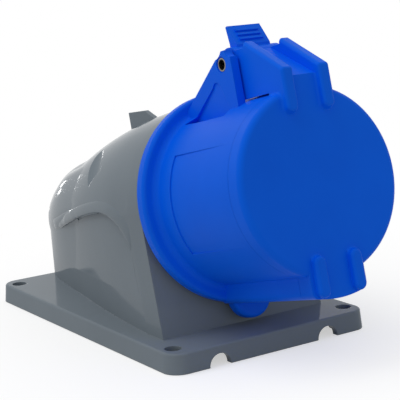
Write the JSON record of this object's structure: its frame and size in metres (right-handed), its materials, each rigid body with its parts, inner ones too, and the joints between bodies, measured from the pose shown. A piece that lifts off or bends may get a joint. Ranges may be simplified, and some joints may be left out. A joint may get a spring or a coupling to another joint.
{
  "type": "industrial wall socket",
  "caption": "Surface-mounting angled industrial socket outlet: grey hood on a flat base plate, blue round collar with keyway, sprung hinged lid, pin contacts inside.",
  "frame": {"origin": "centre of the four fixing holes in the plane of the base plate's back", "axes": "+Z away from the wall, -Y towards the mouth of the socket, X across; X = 0 is the mirror plane"},
  "size_m": [0.09, 0.1865, 0.1201],
  "materials": {
    "housing_grey": "satin moulded",
    "socket_blue": "satin moulded",
    "carrier_blue": "matt moulded",
    "cap_black": "matt moulded",
    "seal_rubber": "matt",
    "pin_steel": "drawn",
    "screw_steel": "zinc plated",
    "contact_brass": "machined"
  },
  "bodies": {
    "base": {"housing": "housing_grey", "flange_gasket": "seal_rubber", "socket_body": "socket_blue", "hinge_pin": "pin_steel", "lid_spring": "pin_steel", "contact_carrier": "carrier_blue", "rear_cap": "cap_black", "contact_sleeve_earth": "contact_brass", "sleeve_spring_earth": "pin_steel", "terminal_screw_earth": "screw_steel", "contact_sleeve_live": "contact_brass", "sleeve_spring_live": "pin_steel", "terminal_screw_live": "screw_steel", "contact_sleeve_neutral": "contact_brass", "sleeve_spring_neutral": "pin_steel", "terminal_screw_neutral": "screw_steel", "flange_screw_lower_left": "screw_steel", "flange_screw_upper_left": "screw_steel", "flange_screw_lower_right": "screw_steel", "flange_screw_upper_right": "screw_steel", "cap_screw_left": "screw_steel", "cap_screw_right": "screw_steel"},
    "lid": {"lid": "socket_blue", "lid_gasket": "seal_rubber"}
  },
  "joints": [
    {"name": "lid_hinge", "type": "hinge", "parent": "base", "child": "lid", "pos_m": [0, -0.06652, 0.10724], "axis": [-1, 0, 0], "range_deg": [0, 100], "stiffness_Nm_per_rad": 0.06, "springref_deg": -51.57, "deforming": ["lid_spring"]}
  ]
}
